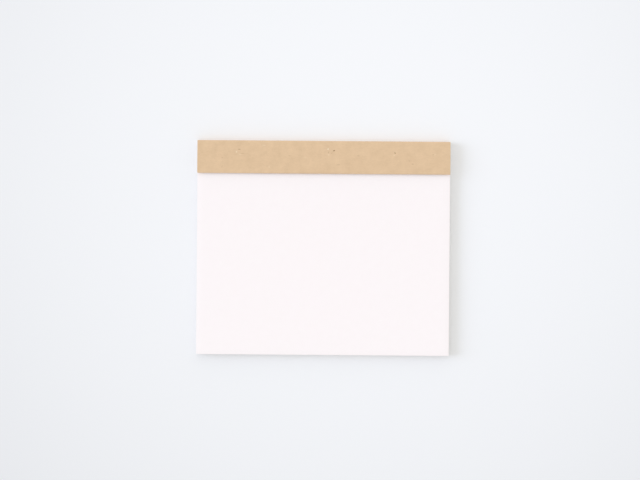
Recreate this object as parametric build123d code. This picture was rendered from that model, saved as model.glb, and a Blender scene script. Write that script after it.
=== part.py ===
from build123d import *
import math
import os

# Small drawing pad lying on its back. White sheets are stacked on a pale pulp board and held along one
# edge, the head, by a film of glue. A strip of brown kraft card is folded round the head: it lies flat
# under the board, stands against the glue, and bends over the front as a flap that arches clear of the
# top sheet. The sides and the foot were trimmed flush after binding.
#
# Frame: +X to the right along the head, +Y towards the head, +Z up, out of the top sheet. The origin is
# on the surface that the pad lies on, under the middle of its outline. All sizes are in millimetres.

# Outline of the bound and trimmed pad
PAD_WIDTH = 150.0
PAD_LENGTH = 127.0

# Sheets of drawing paper
SHEET_COUNT = 25
SHEET_THICKNESS = 0.14
# Furthest that the cut edge of one sheet lies back from the trimmed face
CUT_SCATTER = 0.09

# Pulp board behind the sheets
BOARD_THICKNESS = 1.0

# Glue film brushed on the head of the sheets and the board
GLUE_THICKNESS = 0.35

# Kraft card strip round the head
CARD_THICKNESS = 0.4
FRONT_FLAP_LENGTH = 19.5
BACK_FLAP_LENGTH = 20.0
# Inside radii of the fold that the pad's weight presses flat and of the free bend at the front
BACK_FOLD_RADIUS = 0.22
FRONT_BEND_RADIUS = 0.5
# How far short of a right angle the springy card stops in its front bend, in degrees
FRONT_BEND_SHORTFALL = 5.0
# Height of the front flap's free edge over the top sheet
FLAP_LIFT = 1.05
# Room between the glue film's rounded corner and the inside of the fold
GLUE_CORNER_CLEARANCE = 0.05

# Turn from one sheet to the next in the scatter pattern, which never lines up again
SCATTER_TURN = math.pi * (3.0 - math.sqrt(5.0))

# Heights of the stack and places of the head faces that several pieces share
SIDE_X = PAD_WIDTH / 2.0
FOOT_Y = -PAD_LENGTH / 2.0
HEAD_Y = PAD_LENGTH / 2.0
SPINE_INNER_Y = HEAD_Y - CARD_THICKNESS
SHEETS_HEAD_Y = SPINE_INNER_Y - GLUE_THICKNESS
BOARD_BOTTOM_Z = CARD_THICKNESS
SHEETS_BOTTOM_Z = BOARD_BOTTOM_Z + BOARD_THICKNESS
SHEETS_TOP_Z = SHEETS_BOTTOM_Z + SHEET_COUNT * SHEET_THICKNESS
# The fold stays within the glue film's thickness, so that the board's corner clears it
FOLD_RADIUS = min(BACK_FOLD_RADIUS, GLUE_THICKNESS - 2.0 * GLUE_CORNER_CLEARANCE)


def cut_setbacks(phase):
    """How far each sheet's cut edge lies back from the trimmed face, from the bottom sheet up."""
    return [
        CUT_SCATTER * (0.5 + 0.5 * math.sin(phase + SCATTER_TURN * sheet))
        for sheet in range(SHEET_COUNT)
    ]


def stepped_edge(place, inward, phase):
    """Points up one cut face of the stack, two to a sheet, as (place, height) pairs."""
    points = []
    for sheet, setback in enumerate(cut_setbacks(phase)):
        at = place + inward * setback
        low = SHEETS_BOTTOM_Z + sheet * SHEET_THICKNESS
        points += [(at, low), (at, low + SHEET_THICKNESS)]
    return points


def stack_prism(plane, start_points, end_points, depth):
    """Solid whose section is the stack between two stepped or straight edges, centred on the plane."""
    outline = Polyline(*start_points, *reversed(end_points), close=True)
    return extrude(plane * make_face(outline), amount=depth / 2.0, both=True)


def page_block():
    """All sheets as one solid, with every sheet's cut edge showing on the sides and the foot."""
    # Each prism runs well past the pad, where the other one cuts it off
    across = stack_prism(
        Plane.XZ,
        stepped_edge(-SIDE_X, 1.0, phase=0.0),
        stepped_edge(SIDE_X, -1.0, phase=2.0),
        2.0 * PAD_LENGTH,
    )
    # The head isn't stepped: the sheets were knocked up flush there before they were glued
    along = stack_prism(
        Plane.YZ,
        stepped_edge(FOOT_Y, 1.0, phase=4.0),
        [(SHEETS_HEAD_Y, SHEETS_BOTTOM_Z), (SHEETS_HEAD_Y, SHEETS_TOP_Z)],
        2.0 * PAD_WIDTH,
    )
    return across & along


def backing_board():
    """Stiff pulp board, trimmed with the sheets."""
    length = SHEETS_HEAD_Y - FOOT_Y
    board = Box(PAD_WIDTH, length, BOARD_THICKNESS)
    return Pos(0, FOOT_Y + length / 2.0, BOARD_BOTTOM_Z + BOARD_THICKNESS / 2.0) * board


def padding_glue():
    """Glue film on the head, its outer corners rounded to follow the inside of the card."""
    height = SHEETS_TOP_Z - BOARD_BOTTOM_Z
    film = Pos(0, SHEETS_HEAD_Y + GLUE_THICKNESS / 2.0, BOARD_BOTTOM_Z + height / 2.0) * Box(
        PAD_WIDTH, GLUE_THICKNESS, height
    )
    corners = film.edges().filter_by(Axis.X).group_by(Axis.Y)[-1]
    return fillet(corners, FOLD_RADIUS + GLUE_CORNER_CLEARANCE)


def head_strip():
    """Kraft card folded round the head, from under the board to the arched front flap."""
    back_edge = (HEAD_Y - BACK_FLAP_LENGTH, BOARD_BOTTOM_Z)
    front_edge = (HEAD_Y - FRONT_FLAP_LENGTH, SHEETS_TOP_Z + FLAP_LIFT)
    # The card's inside is drawn from the back edge to the front one, each stretch tangent to the last
    back_leg = Line(back_edge, (SPINE_INNER_Y - FOLD_RADIUS, BOARD_BOTTOM_Z))
    back_fold = JernArc(back_leg @ 1, back_leg % 1, FOLD_RADIUS, 90.0)
    spine = Line(back_fold @ 1, (SPINE_INNER_Y, SHEETS_TOP_Z))
    front_bend = JernArc(spine @ 1, spine % 1, FRONT_BEND_RADIUS, 90.0 - FRONT_BEND_SHORTFALL)
    flap = TangentArc(front_bend @ 1, front_edge, tangent=front_bend % 1)
    inside = Wire([back_leg, back_fold, spine, front_bend, flap])
    section = make_face(inside.offset_2d(CARD_THICKNESS, side=Side.RIGHT))
    return extrude(Plane.YZ * section, amount=PAD_WIDTH / 2.0, both=True)


pieces = {
    "page_block": page_block(),
    "backing_board": backing_board(),
    "padding_glue": padding_glue(),
    "head_strip": head_strip(),
}

os.makedirs("parts", exist_ok=True)
for name, piece in pieces.items():
    export_step(piece, f"parts/{name}.step")
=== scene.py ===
"""Small drawing pad: white sheets on a pale board, glued at the head under a folded kraft card strip.

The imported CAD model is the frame. Each piece made here stands for one of its nodes and stays inside that
node's box. Sizes in the classes are millimetres and angles degrees. Meshes are written in metres, in the
frame's own axes: +X to the right along the head, +Y towards the head, +Z up, out of the top sheet.
"""

import logging
import math
from abc import ABC, abstractmethod
from collections.abc import Iterable
from dataclasses import dataclass, field
from enum import Enum

import bmesh
import bpy
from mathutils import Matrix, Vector, noise

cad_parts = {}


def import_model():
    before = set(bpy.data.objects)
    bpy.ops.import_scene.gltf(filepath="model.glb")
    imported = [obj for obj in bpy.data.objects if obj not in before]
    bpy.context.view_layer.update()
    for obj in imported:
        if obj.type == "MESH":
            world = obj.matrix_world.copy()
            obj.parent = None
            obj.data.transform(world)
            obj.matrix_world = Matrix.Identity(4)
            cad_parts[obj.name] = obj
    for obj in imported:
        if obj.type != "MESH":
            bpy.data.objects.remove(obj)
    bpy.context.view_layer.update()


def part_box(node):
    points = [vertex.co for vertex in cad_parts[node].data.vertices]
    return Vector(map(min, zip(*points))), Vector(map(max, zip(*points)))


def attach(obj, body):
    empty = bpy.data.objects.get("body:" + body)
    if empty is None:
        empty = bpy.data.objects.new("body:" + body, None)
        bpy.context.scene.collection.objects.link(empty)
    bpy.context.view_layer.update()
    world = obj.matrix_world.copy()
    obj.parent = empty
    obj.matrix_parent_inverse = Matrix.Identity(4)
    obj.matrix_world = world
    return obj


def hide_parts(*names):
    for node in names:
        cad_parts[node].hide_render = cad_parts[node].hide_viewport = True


log = logging.getLogger("drawing_pad")

Colour = tuple[float, float, float, float]
Point = tuple[float, float, float]
ShaderNode = bpy.types.Node
Socket = bpy.types.NodeSocket

MM = 0.001
BODY = "root"
# Keeps the noise off its own lattice, where it is 0, and sets one edge's values apart from the next one's
NOISE_OFFSET = (0.31, 0.53, 0.37)
SEED_STEP = 3.7


def linear(hex_code: str) -> Colour:
    """Linear colour of an sRGB hex value.

    Args:
        hex_code: Six hex digits after a "#".

    Returns:
        Linear red, green and blue, with an alpha of 1.
    """
    levels = [int(hex_code[at : at + 2], 16) / 255.0 for at in (1, 3, 5)]
    red, green, blue = (v / 12.92 if v <= 0.04045 else ((v + 0.055) / 1.055) ** 2.4 for v in levels)
    return red, green, blue, 1.0


def repeats(size: float) -> float:
    """Texture scale, in repeats per metre, of a pattern whose features are this many millimetres across."""
    return 1.0 / (size * MM)


def drift(place: float, wavelength: float, seed: float) -> float:
    """Smooth uneven share from about 0 to 1 along an edge, the same in each run.

    Args:
        place: Distance along the edge.
        wavelength: Length over which the share changes.
        seed: Tells one edge's shares from another's.

    Returns:
        The share at that place.
    """
    along, across, up = NOISE_OFFSET
    return 0.5 + 0.5 * noise.noise(Vector((place / wavelength + along, seed * SEED_STEP + across, up)))


def ease(share: float) -> float:
    """Smooth step from 0 to 1 for a share that runs from 0 to 1."""
    share = min(1.0, max(0.0, share))
    return share * share * (3.0 - 2.0 * share)


def unit(degrees: float) -> Vector:
    """Direction in a section, from an angle measured from +Y towards +Z."""
    return Vector((math.cos(math.radians(degrees)), math.sin(math.radians(degrees))))


def arc(hub: Vector, radius: float, start: float, sweep: float, steps: int) -> list[tuple[Vector, Vector]]:
    """Points of an arc in a section.

    Args:
        hub: Middle of the arc, as place and height.
        radius: Radius of the arc.
        start: Angle of its first point, measured from +Y towards +Z.
        sweep: Angle from its first point to its last.
        steps: Steps between them.

    Returns:
        The points, each with the direction from the hub to it.
    """
    directions = [unit(start + sweep * step / steps) for step in range(steps + 1)]
    return [(hub + out * radius, out) for out in directions]


def add_object(name: str, data: bpy.types.ID) -> bpy.types.Object:
    """Adds an object to the scene.

    Args:
        name: Name of the object.
        data: Its mesh, light or camera.

    Returns:
        The new object.
    """
    added = bpy.data.objects.new(name, data)
    bpy.context.scene.collection.objects.link(added)
    return added


class Canvas:
    """Emptied node tree of a material or a world, for a pattern that is drawn by one set of coordinates."""

    def __init__(self, owner: bpy.types.Material | bpy.types.World, coordinates: str = "Object") -> None:
        """Empties the owner's node tree.

        Args:
            owner: The material or world.
            coordinates: Name of the coordinates: the object's own, in metres, or a world's directions.
        """
        owner.use_nodes = True
        self.tree = owner.node_tree
        self.tree.nodes.clear()
        self.place = self.add("TexCoord").outputs[coordinates]

    def add(
        self,
        kind: str,
        settings: dict[str, object] | None = None,
        inputs: dict[str | int, object] | None = None,
    ) -> ShaderNode:
        """Adds a node, with its settings and links.

        Args:
            kind: Type of the node, without the "ShaderNode" that all types here start with.
            settings: The node's own properties by name.
            inputs: For each input in use, by name or number, a value or what feeds it: a socket, or a node
                for the first of its outputs in use.

        Returns:
            The new node.
        """
        node = self.tree.nodes.new("ShaderNode" + kind)
        for name, value in (settings or {}).items():
            setattr(node, name, value)
        used = [socket for socket in node.inputs if socket.enabled]
        sockets = dict(enumerate(used)) | {socket.name: socket for socket in used}
        for key, value in (inputs or {}).items():
            if isinstance(value, ShaderNode):
                value = next(socket for socket in value.outputs if socket.enabled)
            if isinstance(value, Socket):
                self.tree.links.new(value, sockets[key])
            else:
                sockets[key].default_value = value
        return node

    def grain(
        self,
        sizes: Point,
        turn: float = 0.0,
        detail: float = 2.0,
        roughness: float = 0.5,
        distortion: float = 0.0,
    ) -> ShaderNode:
        """Adds noise, drawn out into streaks where its sizes differ.

        Args:
            sizes: Size of a feature along its own X, Y and Z, in millimetres.
            turn: Angle from the piece's X to the feature's, in degrees.
            detail: Number of finer layers in the noise.
            roughness: Strength of those layers.
            distortion: How crooked the streaks are.

        Returns:
            Node that gives the noise, from 0 to 1.
        """
        frame = {"Rotation": (0.0, 0.0, math.radians(turn)), "Scale": [size * MM for size in sizes]}
        local = self.add("Mapping", {"vector_type": "TEXTURE"}, {"Vector": self.place} | frame)
        layers = {"Detail": detail, "Roughness": roughness, "Distortion": distortion}
        return self.add("TexNoise", inputs={"Vector": local, "Scale": 1.0} | layers)

    def two_tone(
        self, tone: ShaderNode, low: str, high: str, reach: tuple[float, float] = (0.0, 1.0)
    ) -> ShaderNode:
        """Adds a colour that follows a tone.

        Args:
            tone: Node that gives the tone.
            low: Hex value of the colour at the tone's low end.
            high: Hex value of the colour at its high end.
            reach: Tones at which the one and the other colour are reached.

        Returns:
            Node that gives the colour.
        """
        share = self.add("MapRange", inputs={"Value": tone, "From Min": reach[0], "From Max": reach[1]})
        ends = {"Factor": share, "A": linear(low), "B": linear(high)}
        return self.add("Mix", {"data_type": "RGBA"}, ends)


@dataclass(frozen=True)
class Finish(ABC):
    """Look of one real surface: a shader and the pattern that each kind of finish draws for it."""

    name: str
    roughness: float
    ior: float
    # Depth of the surface's own relief, in millimetres
    relief: float

    @abstractmethod
    def draw(self, canvas: Canvas) -> tuple[ShaderNode, ShaderNode]:
        """Draws the finish's pattern.

        Args:
            canvas: Canvas of the material.

        Returns:
            Nodes that give the surface's colour and its height.
        """

    def material(self) -> bpy.types.Material:
        """Makes a node material of the finish.

        Returns:
            The new material.
        """
        material = bpy.data.materials.new(self.name)
        canvas = Canvas(material)
        colour, height = self.draw(canvas)
        bump = canvas.add("Bump", inputs={"Strength": 1.0, "Distance": self.relief * MM, "Height": height})
        shader = canvas.add(
            "BsdfPrincipled",
            inputs={"Base Color": colour, "Roughness": self.roughness, "IOR": self.ior, "Normal": bump},
        )
        canvas.add("OutputMaterial", inputs={"Surface": shader})
        return material


@dataclass(frozen=True)
class WovePaper(Finish):
    """Uncoated wove drawing paper, pressed between felts: matt, with a fine tooth and faint clouds."""

    name: str = "uncoated_wove_paper"
    roughness: float = 0.9
    ior: float = 1.45
    relief: float = 0.006
    thick: str = "#fef9fa"
    thin: str = "#fcf6f7"
    # Clouds of fibres that a sheet shows when it is held to the light, and the felt's tooth
    cloud_size: float = 4.5
    tooth_size: float = 0.3

    def draw(self, canvas: Canvas) -> tuple[ShaderNode, ShaderNode]:
        """Draws faint clouds in the white, and the felt's tooth as relief.

        Args:
            canvas: Canvas of the material.

        Returns:
            Nodes that give the colour and the height.
        """
        clouds = canvas.grain((self.cloud_size,) * 3, detail=3.0, roughness=0.6)
        tooth = canvas.grain((self.tooth_size,) * 3, roughness=0.6)
        return canvas.two_tone(clouds, self.thin, self.thick), tooth


@dataclass(frozen=True)
class SheetEdges(Finish):
    """Edges of the sheets, cut by a guillotine: fine lines of random tone and painted light and shade along
    them, crossed by the knife's drag.
    """

    name: str = "guillotined_sheet_edges"
    roughness: float = 0.92
    ior: float = 1.45
    relief: float = 0.015
    tone_and_painted_light: str = "#f4f1ef"
    tone_and_painted_shade: str = "#e1dcd8"
    reach: tuple[float, float] = (0.8, 1.5)
    # Real sheets are one pitch apart. A wider band is drawn too, because single sheets are finer than a
    # pixel at arm's length, and what shows there is how some sheets stand out in groups. The lines' paler
    # tone is painted light on sheets that stand out and their darker tone painted shade on sheets that lie
    # back, mixed with random tone.
    pitch: float = 0.14
    band: float = 0.55
    # The tone changes slowly along a sheet, and quickly from knife mark to knife mark
    run: float = 45.0
    knife_mark: float = 0.5
    knife_mark_height: float = 4.0
    knife_weight: float = 0.35

    def draw(self, canvas: Canvas) -> tuple[ShaderNode, ShaderNode]:
        """Draws lines of random tone and painted light and shade along the sheets, crossed by knife marks
        that are also the relief.

        Args:
            canvas: Canvas of the material.

        Returns:
            Nodes that give the colour and the height.
        """
        sheets, bands = (
            canvas.grain((self.run, self.run, height), detail=1.0) for height in (self.pitch, self.band)
        )
        lines = canvas.add("Math", {"operation": "ADD"}, {0: sheets, 1: bands})
        knife = canvas.grain((self.knife_mark, self.knife_mark, self.knife_mark_height))
        tone = canvas.add("Math", {"operation": "MULTIPLY_ADD"}, {0: knife, 1: self.knife_weight, 2: lines})
        # The two colours are painted light and painted shade of sheets that stand out and lie back, spread
        # by random tone
        return canvas.two_tone(tone, self.tone_and_painted_shade, self.tone_and_painted_light, self.reach), tone


@dataclass(frozen=True)
class Fleck:
    """A bark speck or shive in the card's surface.

    Attributes:
        x: Place along the head.
        y: Place towards the head.
        length: Size along its own X.
        width: Size along its own Y.
        strength: Share of the speck's own colour that shows.
        turn: Angle from +X to its own X.
    """

    x: float
    y: float
    length: float
    width: float
    strength: float
    turn: float = 0.0


# Bark specks of the front flap that show at arm's length: place, length, width, strength and turn
DARK_FLECKS = (
    Fleck(6.0, 57.7, 1.15, 0.6, 0.95, 4.0),
    Fleck(2.8, 56.7, 1.2, 0.45, 0.42, 70.0),
    Fleck(4.5, 56.1, 0.8, 0.5, 0.24, -20.0),
    Fleck(-50.2, 58.1, 1.5, 0.5, 0.48, -12.0),
    Fleck(-48.3, 55.6, 2.0, 0.4, 0.28, 4.0),
    Fleck(42.1, 56.5, 0.7, 1.0, 0.85, 12.0),
    Fleck(64.7, 55.7, 0.9, 0.6, 0.3),
    Fleck(20.4, 54.7, 1.6, 0.8, 0.17, -5.0),
    Fleck(8.5, 49.3, 2.2, 0.5, 0.26, 8.0),
    Fleck(-60.2, 53.1, 0.9, 0.7, 0.16, 40.0),
    Fleck(-60.3, 47.9, 1.6, 0.5, 0.2, 45.0),
    Fleck(-20.4, 54.5, 1.6, 0.8, 0.13),
    Fleck(50.7, 51.9, 0.9, 0.7, 0.2, -30.0),
    Fleck(52.5, 50.1, 1.5, 0.5, 0.28),
)
# Shives, which are paler bits of wood, on the same flap
PALE_FLECKS = (
    Fleck(-51.8, 56.6, 0.9, 1.3, 0.65),
    Fleck(-49.6, 55.0, 1.8, 0.5, 0.42),
    Fleck(2.5, 58.7, 0.9, 0.9, 1.0),
    Fleck(2.9, 55.2, 1.0, 0.9, 0.45),
    Fleck(41.7, 55.2, 0.7, 1.0, 0.5),
    Fleck(-11.0, 53.4, 1.5, 0.8, 0.22),
    Fleck(-32.3, 47.9, 1.1, 1.3, 0.3),
    Fleck(-35.5, 60.6, 1.9, 0.9, 0.3),
    Fleck(65.9, 55.8, 0.8, 0.8, 0.42),
)


@dataclass(frozen=True)
class KraftCard(Finish):
    """Unbleached kraft card, made of long softwood fibres: matt brown, cloudy, with bark specks."""

    name: str = "unbleached_kraft_card"
    roughness: float = 0.78
    ior: float = 1.46
    relief: float = 0.012
    pale: str = "#e7c9a5"
    dark: str = "#d7b995"
    speck: str = "#8f6c48"
    shive: str = "#f0dcc0"
    reach: tuple[float, float] = (1.15, 2.05)
    # Softwood fibres are about 3 mm long and 0.04 mm wide. They are drawn in bundles of a few fibres,
    # because a single one is finer than a pixel at arm's length.
    fibre_length: float = 3.0
    bundle_width: float = 0.22
    # Angles of the fibres from +X, in degrees, each with its weight. The paper machine laid most of them
    # nearly along the head.
    lays: tuple[tuple[float, float], ...] = ((6.0, 1.0), (-47.0, 0.5), (68.0, 0.5))
    cloud_size: float = 6.0
    cloud_weight: float = 1.2
    # Specks scattered at random, at most one in each cell of this size. A share of the cells stays bare.
    speck_cell: float = 4.2
    bare_share: float = 0.72
    speck_radius: float = 0.2
    speck_strength: float = 0.5
    # Width of their soft outline, as a share of a cell
    speck_blur: float = 0.02
    # Specks are torn bits of bark and wood: how far their outline strays, and over what length
    tear_depth: float = 0.24
    tear_size: float = 0.4
    # Where a placed fleck starts to fade and where it ends, as shares of half its size
    fade_start: float = 0.5
    fade_end: float = 1.3
    # These flecks lie at the flap's height, and don't reach down to the leg under the board
    flap_height: float = 6.0
    fleck_depth: float = 3.5

    def scattered_specks(self, canvas: Canvas, place: ShaderNode) -> ShaderNode:
        """Draws small bark specks in a few of the cells.

        Args:
            canvas: Canvas of the material.
            place: Node that gives the place, in metres.

        Returns:
            Node that gives the share of bark that shows.
        """
        cells = canvas.add("TexVoronoi", inputs={"Vector": place, "Scale": repeats(self.speck_cell)})
        chance = canvas.add("SeparateColor", inputs={"Color": cells.outputs["Color"]})
        widest = self.speck_radius / self.speck_cell
        radius = canvas.add(
            "MapRange", inputs={"Value": chance, "From Min": self.bare_share, "To Max": widest}
        )
        depth = canvas.add("Math", {"operation": "SUBTRACT"}, {0: radius, 1: cells})
        return canvas.add(
            "MapRange", inputs={"Value": depth, "From Max": self.speck_blur, "To Max": self.speck_strength}
        )

    def placed_fleck(self, canvas: Canvas, place: ShaderNode, fleck: Fleck) -> ShaderNode:
        """Draws one of the flecks that show at arm's length.

        Args:
            canvas: Canvas of the material.
            place: Node that gives the place, in metres.
            fleck: The fleck.

        Returns:
            Node that gives the share of the fleck's own colour that shows.
        """
        local = canvas.add(
            "Mapping",
            {"vector_type": "TEXTURE"},
            {
                "Vector": place,
                "Location": (fleck.x * MM, fleck.y * MM, self.flap_height * MM),
                "Rotation": (0.0, 0.0, math.radians(fleck.turn)),
                "Scale": (fleck.length / 2.0 * MM, fleck.width / 2.0 * MM, self.fleck_depth * MM),
            },
        )
        away = canvas.add("VectorMath", {"operation": "LENGTH"}, {0: local})
        reach = {"From Min": self.fade_start, "From Max": self.fade_end}
        fade = {"To Min": fleck.strength, "To Max": 0.0}
        return canvas.add("MapRange", {"interpolation_type": "SMOOTHSTEP"}, {"Value": away} | reach | fade)

    def draw(self, canvas: Canvas) -> tuple[ShaderNode, ShaderNode]:
        """Draws clouds and fibres in the brown, with flecks on them, and the fibres as relief.

        Args:
            canvas: Canvas of the material.

        Returns:
            Nodes that give the colour and the height.
        """
        clouds = canvas.grain((self.cloud_size,) * 3, detail=4.0, roughness=0.6)
        bundle = (self.fibre_length, self.bundle_width, self.bundle_width)
        web: float | ShaderNode = 0.0
        for lay, weight in self.lays:
            fibres = canvas.grain(bundle, turn=lay, detail=3.0, roughness=0.6, distortion=0.4)
            web = canvas.add("Math", {"operation": "MULTIPLY_ADD"}, {0: fibres, 1: weight, 2: web})
        tone = canvas.add("Math", {"operation": "MULTIPLY_ADD"}, {0: clouds, 1: self.cloud_weight, 2: web})
        tears = canvas.add(
            "TexNoise",
            {"normalize": False},
            {"Vector": canvas.place, "Scale": repeats(self.tear_size), "Detail": 2.0},
        )
        torn = canvas.add(
            "VectorMath",
            {"operation": "MULTIPLY_ADD"},
            {0: tears.outputs["Color"], 1: (self.tear_depth * MM,) * 3, 2: canvas.place},
        )
        marks = [(self.scattered_specks(canvas, torn), self.speck)]
        marks += [(self.placed_fleck(canvas, torn, fleck), self.speck) for fleck in DARK_FLECKS]
        marks += [(self.placed_fleck(canvas, torn, fleck), self.shive) for fleck in PALE_FLECKS]
        colour = canvas.two_tone(tone, self.dark, self.pale, self.reach)
        for share, tint in marks:
            layers = {"Factor": share, "A": colour, "B": linear(tint)}
            colour = canvas.add("Mix", {"data_type": "RGBA"}, layers)
        return colour, web


@dataclass(frozen=True)
class KraftCut(Finish):
    """Cut edges of the kraft card: a little paler and rougher than its faces, with torn stretches."""

    name: str = "kraft_card_cut"
    roughness: float = 0.9
    ior: float = 1.46
    relief: float = 0.02
    pale: str = "#dcbf9b"
    dark: str = "#c6a47c"
    reach: tuple[float, float] = (0.45, 1.05)
    fibre_end: float = 0.09
    tear: float = 0.8
    tear_weight: float = 0.5

    def draw(self, canvas: Canvas) -> tuple[ShaderNode, ShaderNode]:
        """Draws fibre ends, and longer stretches where the knife tore them.

        Args:
            canvas: Canvas of the material.

        Returns:
            Nodes that give the colour and the height.
        """
        ends, tears = (canvas.grain((size,) * 3) for size in (self.fibre_end, self.tear))
        tone = canvas.add("Math", {"operation": "MULTIPLY_ADD"}, {0: tears, 1: self.tear_weight, 2: ends})
        return canvas.two_tone(tone, self.dark, self.pale, self.reach), tone


@dataclass(frozen=True)
class PulpBoard(Finish):
    """Pulp board, couched in plies from bleached and waste pulp: uneven off-white, with dull flecks."""

    name: str = "pale_pulp_board"
    roughness: float = 0.92
    ior: float = 1.45
    relief: float = 0.02
    pale: str = "#f0ede7"
    dark: str = "#dedad2"
    fleck: str = "#a39d92"
    reach: tuple[float, float] = (0.6, 1.4)
    cloud_size: float = 1.8
    # Plies as they show in the cut, and how far one ply's tone runs along it
    ply: float = 0.16
    run: float = 60.0
    fleck_cell: float = 1.6
    fleck_radius: float = 0.14
    fleck_strength: float = 0.35
    # Where a fleck starts to fade, as a share of its radius
    fade_start: float = 0.4

    def draw(self, canvas: Canvas) -> tuple[ShaderNode, ShaderNode]:
        """Draws clouds and plies of off-white, with dull flecks.

        Args:
            canvas: Canvas of the material.

        Returns:
            Nodes that give the colour and the height.
        """
        clouds = canvas.grain((self.cloud_size,) * 3, detail=5.0, roughness=0.65)
        plies = canvas.grain((self.run, self.run, self.ply))
        tone = canvas.add("Math", {"operation": "ADD"}, {0: clouds, 1: plies})
        colour = canvas.two_tone(tone, self.dark, self.pale, self.reach)
        cells = canvas.add("TexVoronoi", inputs={"Vector": canvas.place, "Scale": repeats(self.fleck_cell)})
        radius = self.fleck_radius / self.fleck_cell
        reach = {"From Min": self.fade_start * radius, "From Max": radius}
        fade = {"To Min": self.fleck_strength, "To Max": 0.0}
        flecks = canvas.add("MapRange", inputs={"Value": cells} | reach | fade)
        layers = {"Factor": flecks, "A": colour, "B": linear(self.fleck)}
        return canvas.add("Mix", {"data_type": "RGBA"}, layers), tone


@dataclass(frozen=True)
class PaddingGlueFilm(Finish):
    """Padding glue, a PVA emulsion brushed on and dried: milky, with a low gloss and brush marks."""

    name: str = "dried_padding_glue"
    roughness: float = 0.38
    ior: float = 1.47
    relief: float = 0.03
    thick: str = "#f0eee7"
    thin: str = "#e3e0d6"
    brush_mark: float = 0.35
    stroke: float = 12.0

    def draw(self, canvas: Canvas) -> tuple[ShaderNode, ShaderNode]:
        """Draws brush marks along the head, a little darker where the film is thin."""
        marks = canvas.grain((self.stroke, self.brush_mark, self.brush_mark))
        return canvas.two_tone(marks, self.thin, self.thick), marks


class Surface(Enum):
    """Surfaces of a piece that can differ in finish, by the number of their material."""

    FACE = 0
    CUT = 1


@dataclass
class MeshDraft:
    """Vertices and faces of a piece while it is being built, in millimetres."""

    points: list[Point] = field(default_factory=list)
    faces: list[tuple[int, ...]] = field(default_factory=list)
    surfaces: list[int] = field(default_factory=list)

    def row(self, points: list[Point]) -> list[int]:
        """Adds points and returns their numbers."""
        self.points += points
        return list(range(len(self.points) - len(points), len(self.points)))

    def face(self, corners: Iterable[int], surface: Surface = Surface.FACE) -> None:
        """Adds one face, which is part of a surface."""
        self.faces.append(tuple(corners))
        self.surfaces.append(surface.value)

    def bridge(self, first: list[int], second: list[int], surface: Surface, closed: bool = True) -> None:
        """Fills the space between two rows of the same length with quads.

        Args:
            first: Numbers of one row's points.
            second: Numbers of the other row's points.
            surface: Surface that these faces are part of.
            closed: Whether the last points join the first ones.
        """
        count = len(first)
        for at in range(count if closed else count - 1):
            after = (at + 1) % count
            self.face((first[at], first[after], second[after], second[at]), surface)

    def loft(self, rings: list[list[int]], surface: Surface = Surface.FACE) -> None:
        """Joins closed rings in order, and closes the first and the last with a face.

        Args:
            rings: Numbers of each ring's points.
            surface: Surface that the faces between the rings are part of.
        """
        for first, second in zip(rings, rings[1:]):
            self.bridge(first, second, surface)
        self.face(rings[0])
        self.face(rings[-1])

    def piece(self, name: str, finishes: list[Finish], sharp_above: float) -> bpy.types.Object:
        """Turns the draft into a mesh object.

        Args:
            name: Name of the piece.
            finishes: Finishes, in the order of their surfaces' numbers.
            sharp_above: Angle in degrees above which an edge is shaded as a sharp one.

        Returns:
            The object, linked to the scene.
        """
        mesh = bpy.data.meshes.new(name)
        mesh.from_pydata([Vector(point) * MM for point in self.points], [], self.faces)
        mesh.polygons.foreach_set("material_index", self.surfaces)
        solid = bmesh.new()
        solid.from_mesh(mesh)
        bmesh.ops.recalc_face_normals(solid, faces=solid.faces[:])
        solid.to_mesh(mesh)
        solid.free()
        mesh.polygons.foreach_set("use_smooth", [True] * len(mesh.polygons))
        mesh.set_sharp_from_angle(angle=math.radians(sharp_above))
        for finish in finishes:
            mesh.materials.append(finish.material())
        return add_object(name, mesh)


class Node(Enum):
    """The part's CAD nodes, each with the name of its material slot."""

    PAGE_BLOCK = ("page_block", "drawing_paper")
    BACKING_BOARD = ("backing_board", "pulp_board")
    PADDING_GLUE = ("padding_glue", "dried_glue")
    HEAD_STRIP = ("head_strip", "kraft_card")

    def box(self) -> tuple[Vector, Vector]:
        """Lowest and highest corner of the node in the frame, in millimetres."""
        low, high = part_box(self.value[0])
        return low / MM, high / MM


@dataclass
class PadPiece(ABC):
    """A piece of the pad that stands for one CAD node, with that node's box."""

    name: str
    node: Node
    low: Vector = field(init=False)
    high: Vector = field(init=False)

    def __post_init__(self) -> None:
        """Takes the node's box from the frame."""
        self.low, self.high = self.node.box()

    @abstractmethod
    def build(self) -> bpy.types.Object:
        """Builds and dresses the piece.

        Returns:
            The piece's object.
        """

    def place(self) -> None:
        """Builds the piece and ties it to the frame in its node's stead."""
        node_name, slot_name = self.node.value
        piece = self.build()
        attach(piece, BODY)
        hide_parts(node_name)
        log.info("%s: %d faces, for node %s", piece.name, len(piece.data.polygons), node_name)


class CutSide(Enum):
    """Trimmed sides of the stack, each with the phase of its sheets' scatter in the CAD part."""

    LEFT = 0.0
    RIGHT = 2.0
    FOOT = 4.0


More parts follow.
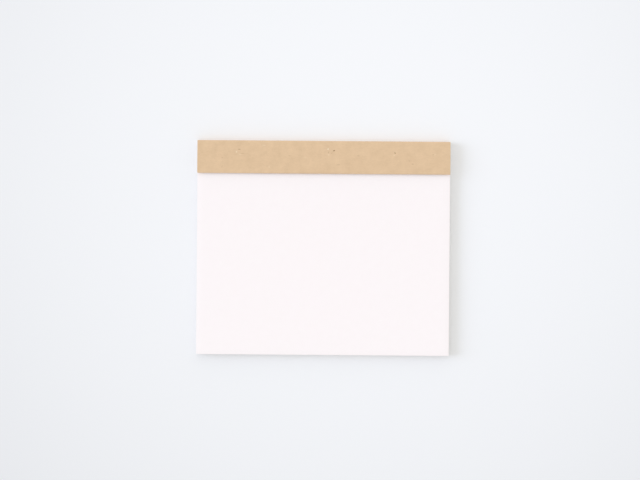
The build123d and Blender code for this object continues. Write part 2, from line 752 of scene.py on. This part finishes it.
@dataclass
class SheetStack(PadPiece):
    """The sheets of drawing paper, each one a thin slab of its own in one piece.

    Attributes:
        half_width: Half of the trimmed width.
        foot: Place of the trimmed foot.
        pitch: Height of one sheet with the air over it.
        count: Number of sheets.
        scatter: Furthest that a sheet's cut edge lies back from the trimmed face.
        scatter_turn: Angle from one sheet to the next in the scatter, which never lines up again.
        ripple: Furthest that the edge wanders back on the way along it.
        ripple_length: Length over which it wanders.
        ripple_seed: What a side's phase is multiplied by, to set its ripples apart from another side's.
        air: Space between two sheets.
        columns: Stretches that the width is divided into.
        rows: Stretches that the length is divided into.
        edge_roll: How far the knife pressed down the top sheet's very edge.
        edge_margin: Width of that pressed margin.
        cockle: Furthest that the top sheet's face dips between its high places.
        cockle_size: Distance over which it dips.
        cockle_seed: Tells this sheet's dips from another's.
    """

    half_width: float = field(init=False)
    foot: float = field(init=False)
    pitch: float = field(init=False)
    count: int = 25
    scatter: float = 0.09
    scatter_turn: float = 180.0 * (3.0 - math.sqrt(5.0))
    ripple: float = 0.025
    ripple_length: float = 14.0
    ripple_seed: float = 10.0
    air: float = 0.012
    columns: int = 40
    rows: int = 34
    edge_roll: float = 0.02
    edge_margin: float = 0.12
    cockle: float = 0.035
    cockle_size: float = 26.0
    cockle_seed: float = 0.7

    def __post_init__(self) -> None:
        """Takes the box of the sheets from the frame, and the trimmed faces from the board's box."""
        super().__post_init__()
        board_low, board_high = Node.BACKING_BOARD.box()
        self.half_width, self.foot = board_high.x, board_low.y
        self.pitch = (self.high.z - self.low.z) / self.count

    def setback(self, sheet: int, side: CutSide, place: float) -> float:
        """How far one sheet's edge lies back from the trimmed face.

        Args:
            sheet: Number of the sheet, from the board up.
            side: Side of the stack.
            place: Place along that side.

        Returns:
            The distance.
        """
        base = 0.5 + 0.5 * math.sin(side.value + math.radians(self.scatter_turn) * sheet)
        wander = drift(place, self.ripple_length, sheet + self.ripple_seed * side.value)
        return self.scatter * base + self.ripple * wander

    def spot(self, sheet: int, across: float, along: float) -> tuple[float, float]:
        """Place on a sheet.

        Args:
            sheet: Number of the sheet, from the board up.
            across: Share of the width from the left edge.
            along: Share of the length from the foot.

        Returns:
            X and Y of the place.
        """
        x = self.half_width * (2.0 * across - 1.0)
        y = self.foot + (self.high.y - self.foot) * along
        left = -self.half_width + self.setback(sheet, CutSide.LEFT, y)
        right = self.half_width - self.setback(sheet, CutSide.RIGHT, y)
        foot = self.foot + self.setback(sheet, CutSide.FOOT, x)
        return left + (right - left) * across, foot + (self.high.y - foot) * along

    def grid(self) -> list[list[float]]:
        """Divides the width and the length evenly, with the pressed margin at each end.

        Returns:
            The divisions that all sheets have, as shares of the width and of the length.
        """
        divisions = []
        sides = ((self.columns, 2.0 * self.half_width), (self.rows, self.high.y - self.foot))
        for stretches, length in sides:
            margin = self.edge_margin / length
            inner = [at / stretches for at in range(1, stretches)]
            divisions.append([0.0, margin, *inner, 1.0 - margin, 1.0])
        return divisions

    def rim(self) -> list[tuple[float, float]]:
        """Goes round a sheet's edge.

        Returns:
            Shares of width and length of its points.
        """
        across, along = self.grid()
        return (
            [(0.0, share) for share in reversed(along)]
            + [(share, 0.0) for share in across[1:]]
            + [(1.0, share) for share in along[1:]]
            + [(share, 1.0) for share in reversed(across[1:-1])]
        )

    def slab(self, draft: MeshDraft, sheet: int) -> None:
        """Adds one of the lower sheets, whose faces hardly show.

        Args:
            draft: Draft that gets the sheet.
            sheet: Number of the sheet, from the board up.
        """
        bottom = self.low.z + sheet * self.pitch
        rings = [
            draft.row([(*self.spot(sheet, across, along), z) for across, along in self.rim()])
            for z in (bottom, bottom + self.pitch - self.air)
        ]
        draft.loft(rings, Surface.CUT)

    def top_sheet(self, draft: MeshDraft) -> None:
        """Adds the top sheet, whose face dips a little and rolls down at the cut edges.

        Args:
            draft: Draft that gets the sheet.
        """
        across, along = self.grid()
        numbers = {}
        for v in along:
            for u in across:
                x, y = self.spot(self.count - 1, u, v)
                at_edge = u in (0.0, 1.0) or v in (0.0, 1.0)
                uneven = noise.noise(Vector((x / self.cockle_size, y / self.cockle_size, self.cockle_seed)))
                fall = self.edge_roll if at_edge else 0.0
                dip = self.cockle * (0.5 + 0.5 * uneven)
                numbers[u, v] = draft.row([(x, y, self.high.z - fall - dip)])[0]
        for v, next_v in zip(along, along[1:]):
            for u, next_u in zip(across, across[1:]):
                draft.face((numbers[u, v], numbers[next_u, v], numbers[next_u, next_v], numbers[u, next_v]))
        upper = [numbers[share] for share in self.rim()]
        bottom = self.high.z - self.pitch
        lower = draft.row([(*draft.points[number][:2], bottom) for number in upper])
        draft.bridge(lower, upper, Surface.CUT)
        draft.face(lower)

    def build(self) -> bpy.types.Object:
        """Builds the stack from the board up.

        Returns:
            The stack's object.
        """
        draft = MeshDraft()
        for sheet in range(self.count - 1):
            self.slab(draft, sheet)
        self.top_sheet(draft)
        return draft.piece(self.name, [WovePaper(), SheetEdges(pitch=self.pitch)], sharp_above=50.0)


@dataclass
class BackingBoard(PadPiece):
    """Pulp board behind the sheets, with the slightly crushed and fibrous edges that a guillotine leaves.

    Attributes:
        crush: How far the faces' edges are rounded by the knife and the clamp.
        rough: Furthest that the cut face wanders back.
        rough_length: Length over which it wanders.
        rough_seed: What a level is multiplied by, to set its wandering apart from another level's.
        stretch: Distance between the points round the edge.
        levels: Heights of the points on the cut face, as shares of the thickness.
    """

    crush: float = 0.07
    rough: float = 0.04
    rough_length: float = 5.0
    rough_seed: float = 5.0
    stretch: float = 2.5
    levels: tuple[float, ...] = (0.0, 0.07, 0.3, 0.55, 0.8, 0.94, 1.0)

    def ring(self, level: float) -> list[Point]:
        """Goes round the board's edge at one level.

        Args:
            level: Share of the thickness from the underside.

        Returns:
            The points.
        """
        z = self.low.z + (self.high.z - self.low.z) * level
        inset = self.crush if level in (0.0, 1.0) else 0.0
        centre, half = (self.low + self.high) / 2.0, (self.high - self.low) / 2.0
        corners = [(-1.0, 1.0), (-1.0, -1.0), (1.0, -1.0), (1.0, 1.0)]
        points = []
        for side, (start, end) in enumerate(zip(corners, corners[1:] + corners[:1])):
            length = abs(end[0] - start[0]) * half.x + abs(end[1] - start[1]) * half.y
            steps = round(length / self.stretch)
            for step in range(steps):
                share = step / steps
                x = start[0] + (end[0] - start[0]) * share
                y = start[1] + (end[1] - start[1]) * share
                wander = drift(share * length, self.rough_length, side + self.rough_seed * level)
                back = inset + self.rough * wander * ease(min(share, 1.0 - share) * steps)
                points.append((centre.x + x * (half.x - back), centre.y + y * (half.y - back), z))
        return points

    def build(self) -> bpy.types.Object:
        """Builds the board from its underside up.

        Returns:
            The board's object.
        """
        draft = MeshDraft()
        draft.loft([draft.row(self.ring(level)) for level in self.levels])
        return draft.piece(self.name, [PulpBoard()], sharp_above=50.0)


@dataclass
class PaddingGlue(PadPiece):
    """Glue film on the head of the sheets, uneven from the brush and rounded at its outer corners.

    Attributes:
        corner: Radius of the outer corners.
        uneven: Furthest that the outer face lies back.
        stroke: Length over which it does.
        stretch: Distance between sections.
        arc_steps: Steps in each rounded corner.
    """

    corner: float = 0.27
    uneven: float = 0.03
    stroke: float = 11.0
    stretch: float = 3.0
    arc_steps: int = 5

    def section(self, x: float) -> list[Point]:
        """Goes round the film at one place along the head.

        Args:
            x: The place.

        Returns:
            The points.
        """
        hub_y = self.high.y - self.uneven * drift(x, self.stroke, seed=2.0) - self.corner
        points = [(x, self.low.y, self.high.z), (x, self.low.y, self.low.z)]
        for hub_z, start in ((self.low.z + self.corner, -90.0), (self.high.z - self.corner, 0.0)):
            rounded = arc(Vector((hub_y, hub_z)), self.corner, start, 90.0, self.arc_steps)
            points += [(x, *point) for point, _ in rounded]
        return points

    def build(self) -> bpy.types.Object:
        """Builds the film from left to right.

        Returns:
            The film's object.
        """
        draft = MeshDraft()
        span = self.high.x - self.low.x
        steps = round(span / self.stretch)
        draft.loft([draft.row(self.section(self.low.x + span * step / steps)) for step in range(steps + 1)])
        return draft.piece(self.name, [PaddingGlueFilm()], sharp_above=40.0)


@dataclass
class HeadStrip(PadPiece):
    """Kraft card folded round the head, from under the board to the arched front flap.

    Attributes:
        stack_top: Height of the top sheet, where the front bend starts.
        card: Thickness of the card.
        flap_length: Depth of the front flap, from the head to its free edge.
        flap_lift: Height of the inside of that edge over the top sheet.
        fold_radius: Inside radius of the flattened fold at the back.
        bend_radius: Inside radius of the free bend at the front.
        shortfall: How far short of a right angle that bend stops, in degrees.
        edge_round: Rounding of the card's cut edges.
        round_limit: Most that a rounding takes of the section's thickness, as a share.
        round_middle: How far a rounding's middle lies in from each face, as a share of its radius.
        wander: Furthest that the flap's free edge wanders back.
        wander_length: Length over which it wanders.
        settle: Furthest that the flap's free edge settles below its highest place.
        wave: Length over which the flap settles.
        corners: Radii of the flap's left and right free corners.
        ends: Sections near an end: distance from the end, and how far the section is drawn in all round.
        stretch: Distance between sections away from the ends.
        steps: Points in the leg, the fold, the spine, the bend and the flap.
    """

    stack_top: float = field(init=False)
    card: float = 0.4
    flap_length: float = 19.5
    flap_lift: float = 1.05
    fold_radius: float = 0.22
    bend_radius: float = 0.5
    shortfall: float = 5.0
    edge_round: float = 0.07
    round_limit: float = 0.45
    round_middle: float = 0.3
    wander: float = 0.05
    wander_length: float = 30.0
    settle: float = 0.08
    wave: float = 48.0
    corners: tuple[float, float] = (0.5, 0.25)
    ends: tuple[tuple[float, float], ...] = (
        (0.0, 0.05),
        (0.015, 0.015),
        *((inwards, 0.0) for inwards in (0.05, 0.12, 0.2, 0.3, 0.42, 0.6, 1.0)),
    )
    stretch: float = 2.0
    steps: tuple[int, int, int, int, int] = (6, 6, 4, 10, 16)

    def __post_init__(self) -> None:
        """Takes the strip's box and the top of the sheets from the frame."""
        super().__post_init__()
        self.stack_top = Node.PAGE_BLOCK.box()[1].z

    def front_edge(self, x: float) -> Vector:
        """Inside of the flap's free edge at one place along the head.

        Args:
            x: The place.

        Returns:
            Its place and height in the section.
        """
        back = self.wander * drift(x, self.wander_length, seed=4.0)
        for radius, inwards in zip(self.corners, (x - self.low.x, self.high.x - x)):
            if inwards < radius:
                back += radius - math.sqrt(radius**2 - (radius - inwards) ** 2)
        fall = self.settle * drift(x, self.wave, seed=6.0)
        return Vector((self.high.y - self.flap_length + back, self.stack_top + self.flap_lift - fall))

    def inside(self, x: float) -> list[tuple[Vector, Vector]]:
        """The card's inside from the back edge to the front one.

        Args:
            x: Place along the head.

        Returns:
            Points of the section, as place and height, each with the direction out through the card.
        """
        leg, fold, spine, bend, flap = self.steps
        spine_y, leg_z = self.high.y - self.card, self.low.z + self.card
        back_edge, leg_end = Vector((self.low.y, leg_z)), Vector((spine_y - self.fold_radius, leg_z))
        fold_hub = leg_end + unit(90.0) * self.fold_radius
        spine_start, spine_end = Vector((spine_y, fold_hub.y)), Vector((spine_y, self.stack_top))
        bend_hub = spine_end - unit(0.0) * self.bend_radius
        # The flap is an arc that leaves the bend without a kink and ends at the free edge
        last = 90.0 - self.shortfall
        out = unit(last)
        start = bend_hub + out * self.bend_radius
        chord = self.front_edge(x) - start
        radius = -chord.length_squared / (2.0 * chord.dot(out))
        sweep = math.degrees(2.0 * math.asin(chord.length / (2.0 * radius)))
        return [
            *((back_edge.lerp(leg_end, step / leg), unit(-90.0)) for step in range(leg)),
            *arc(fold_hub, self.fold_radius, -90.0, 90.0, fold)[:-1],
            *((spine_start.lerp(spine_end, step / spine), unit(0.0)) for step in range(spine)),
            *arc(bend_hub, self.bend_radius, 0.0, last, bend)[:-1],
            *arc(start - out * radius, radius, last, sweep, flap),
        ]

    def section(self, x: float, inset: float) -> list[Point]:
        """Goes round the card at one place along the head.

        Args:
            x: The place.
            inset: How far the section is drawn in all round, for the rounded ends.

        Returns:
            The outside from back to front, the front edge, the inside from front to back, the back edge.
        """
        path = self.inside(x)
        low, high = inset, self.card - inset
        radius = min(self.edge_round, self.round_limit * (high - low))
        middle = self.round_middle * radius
        rounding = [(radius, 0.0), (middle, middle), (0.0, radius)]
        profile = [(back, high - level) for back, level in rounding]
        profile += [(back, low + level) for back, level in reversed(rounding)]
        edges = []
        for (point, out), sense in ((path[0], -1.0), (path[-1], 1.0)):
            forward = Vector((-out.y, out.x)) * sense
            tip = point - forward * inset
            edges.append([tip - forward * back + out * level for back, level in profile])
        back_edge, front_edge = edges
        outside = [point + out * high for point, out in path[1:-1]]
        within = [point + out * low for point, out in reversed(path[1:-1])]
        return [(x, *point) for point in (back_edge[0], *outside, *front_edge, *within, *back_edge[:0:-1])]

    def places(self) -> list[tuple[float, float]]:
        """Spreads the sections along the head, close together near the ends.

        Returns:
            Places of the sections, each with how far the section is drawn in there.
        """
        first = self.ends[-1][0]
        span = self.high.x - self.low.x
        steps = round((span - 2.0 * first) / self.stretch)
        middle = [(first + (span - 2.0 * first) * step / steps, 0.0) for step in range(1, steps)]
        mirrored = [(span - inwards, inset) for inwards, inset in reversed(self.ends)]
        return [(self.low.x + inwards, inset) for inwards, inset in (*self.ends, *middle, *mirrored)]

    def build(self) -> bpy.types.Object:
        """Builds the strip from left to right.

        Returns:
            The strip's object.
        """
        draft = MeshDraft()
        rings = [draft.row(self.section(x, inset)) for x, inset in self.places()]
        side = sum(self.steps)
        edge = len(rings[0]) // 2 - side
        # Where a ring's outside, front edge, inside and back edge start, and where the ring ends
        starts = (0, side, side + edge, 2 * side + edge, 2 * (side + edge))
        front, within, back = starts[1:4]
        runs = list(zip(starts, starts[1:], (Surface.FACE, Surface.CUT) * 2))
        loops = [[*ring, ring[0]] for ring in rings]
        for left, right in zip(loops, loops[1:]):
            for start, stop, surface in runs:
                draft.bridge(left[start : stop + 1], right[start : stop + 1], surface, closed=False)
        for loop in (loops[0], loops[-1]):
            draft.bridge(loop[: front + 1], loop[back : within - 1 : -1], Surface.CUT, closed=False)
            draft.face(loop[front : within + 1], Surface.CUT)
            draft.face(loop[back:], Surface.CUT)
        return draft.piece(self.name, [KraftCard(), KraftCut()], sharp_above=38.0)


@dataclass
class Studio:
    """Pale floor with a painted pool of light, an even sky, one soft key light and the camera straight
    above the pad.

    Attributes:
        floor_half: Half of the floor's side, in metres.
        floor_drop: How far below the pad the floor lies, so that no two faces share a plane.
        painted_light_pool_colour: Colour of the floor at the middle of a pool of light painted on it.
        floor_far: Colour of the floor and of what the camera sees behind it.
        painted_light_centre: Place of the middle of the painted pool of light.
        painted_light_falloff: Distance at which the painted light fades to the floor's far colour.
        sky: Radiance of the sky halfway up, where a sky of 1 alone lights a white surface fully.
        sky_tint: Colour of the sky, which stands for the light from the room.
        sky_tilt: How much brighter the sky is towards the head than halfway, as a share.
        key: Share of full light that the key adds on a level surface.
        key_tint: Colour of the key, which is cooler than the room, as a window's light is.
        key_azimuth: Direction that the key comes from, in degrees from +X towards +Y.
        key_elevation: Its height above the floor, in degrees.
        key_width: Angle that its soft box spans, in degrees.
        camera_place: Place of the camera.
        camera_turn: Turn of the camera about the upright axis, in degrees.
        lens: Focal length for a sensor 36 mm wide.
        clip: Nearest and furthest distance that the camera sees, in metres.
    """

    floor_half: float = 4.5
    floor_drop: float = 0.01
    painted_light_pool_colour: str = "#f7f9fc"
    floor_far: str = "#e5e7ea"
    painted_light_centre: Point = (21.0, 66.0, 0.0)
    painted_light_falloff: float = 322.0
    sky: float = 0.865
    sky_tint: str = "#fffdf9"
    sky_tilt: float = 0.14
    key: float = 0.182
    key_tint: str = "#dfe8ff"
    key_azimuth: float = 175.0
    key_elevation: float = 28.5
    key_width: float = 34.0
    camera_place: Point = (-1.94, 4.715, 901.5)
    camera_turn: float = 0.44
    lens: float = 85.0
    clip: tuple[float, float] = (0.05, 20.0)

    def floor_material(self) -> bpy.types.Material:
        """Matt backdrop card, with a pool of light painted on it that fades to a darker colour away from
        its middle.

        Returns:
            The new material.
        """
        material = bpy.data.materials.new("matt_backdrop_card")
        canvas = Canvas(material)
        # Painted light: the floor's colour is brightest at one place and darker away from it, as a lamp's
        # fall-off would make it
        spot = Vector(self.painted_light_centre) * MM
        away = canvas.add("VectorMath", {"operation": "DISTANCE"}, {0: canvas.place, 1: spot})
        share = canvas.add("Math", {"operation": "MULTIPLY"}, {0: away, 1: repeats(self.painted_light_falloff)})
        squared = canvas.add("Math", {"operation": "MULTIPLY"}, {0: share, 1: share})
        colour = canvas.two_tone(squared, self.painted_light_pool_colour, self.floor_far)
        matt = canvas.add("BsdfDiffuse", inputs={"Color": colour, "Roughness": 0.0})
        canvas.add("OutputMaterial", inputs={"Surface": matt})
        return material

    def build_floor(self) -> None:
        """Lays the floor under the pad."""
        mesh = bpy.data.meshes.new("floor")
        half, z = self.floor_half, -self.floor_drop * MM
        corners = [(-half, -half, z), (half, -half, z), (half, half, z), (-half, half, z)]
        mesh.from_pydata(corners, [], [(0, 1, 2, 3)])
        mesh.materials.append(self.floor_material())
        floor = add_object("floor", mesh)

    def build_sky(self) -> None:
        """Lights the scene evenly from above, and shows the far colour behind the floor."""
        world = bpy.data.worlds.new("studio")
        canvas = Canvas(world, "Generated")
        headward = canvas.add("SeparateXYZ", inputs={0: canvas.place}).outputs["Y"]
        slope = self.sky * self.sky_tilt
        strength = canvas.add("Math", {"operation": "MULTIPLY_ADD"}, {0: headward, 1: slope, 2: self.sky})
        light = canvas.add("Background", inputs={"Color": linear(self.sky_tint), "Strength": strength})
        seen = canvas.add("Background", inputs={"Color": linear(self.floor_far), "Strength": 1.0})
        rays = canvas.add("LightPath")
        shown: float | ShaderNode = 0.0
        for kind in ("Is Camera Ray", "Is Glossy Ray", "Is Transmission Ray"):
            settings = {"operation": "ADD", "use_clamp": True}
            shown = canvas.add("Math", settings, {0: shown, 1: rays.outputs[kind]})
        surface = canvas.add("MixShader", inputs={0: shown, 1: light, 2: seen})
        canvas.add("OutputWorld", inputs={"Surface": surface})
        bpy.context.scene.world = world

    def build_key(self) -> None:
        """Hangs the key light, a wide soft box on the left."""
        elevation, azimuth = math.radians(self.key_elevation), math.radians(self.key_azimuth)
        level = math.cos(elevation)
        towards = Vector((level * math.cos(azimuth), level * math.sin(azimuth), math.sin(elevation)))
        lamp = bpy.data.lights.new("key", "SUN")
        # A level white surface is fully lit by an irradiance of pi
        lamp.energy = self.key * math.pi / math.sin(elevation)
        lamp.angle = math.radians(self.key_width)
        lamp.color = linear(self.key_tint)[:3]
        add_object("key", lamp).rotation_euler = towards.to_track_quat("Z", "Y").to_euler()

    def build_camera(self) -> None:
        """Sets the camera above the pad, looking straight down."""
        data = bpy.data.cameras.new("camera")
        data.lens = self.lens
        data.clip_start, data.clip_end = self.clip
        camera = add_object("camera", data)
        camera.location = Vector(self.camera_place) * MM
        camera.rotation_euler = (0.0, 0.0, math.radians(self.camera_turn))
        bpy.context.scene.camera = camera

    def build(self) -> None:
        """Builds the floor, the lights and the camera."""
        self.build_floor()
        self.build_sky()
        self.build_key()
        self.build_camera()
        bpy.context.scene.view_settings.view_transform = "Standard"


def main() -> None:
    """Builds the pad around the frame, then the studio."""
    logging.basicConfig(level=logging.INFO, format="%(name)s: %(message)s")
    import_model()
    pieces: list[PadPiece] = [
        SheetStack("drawing_sheets", Node.PAGE_BLOCK),
        BackingBoard("pulp_backing_board", Node.BACKING_BOARD),
        PaddingGlue("padding_glue_film", Node.PADDING_GLUE),
        HeadStrip("kraft_head_strip", Node.HEAD_STRIP),
    ]
    for piece in pieces:
        piece.place()
    Studio().build()


if __name__ == "__main__":
    main()
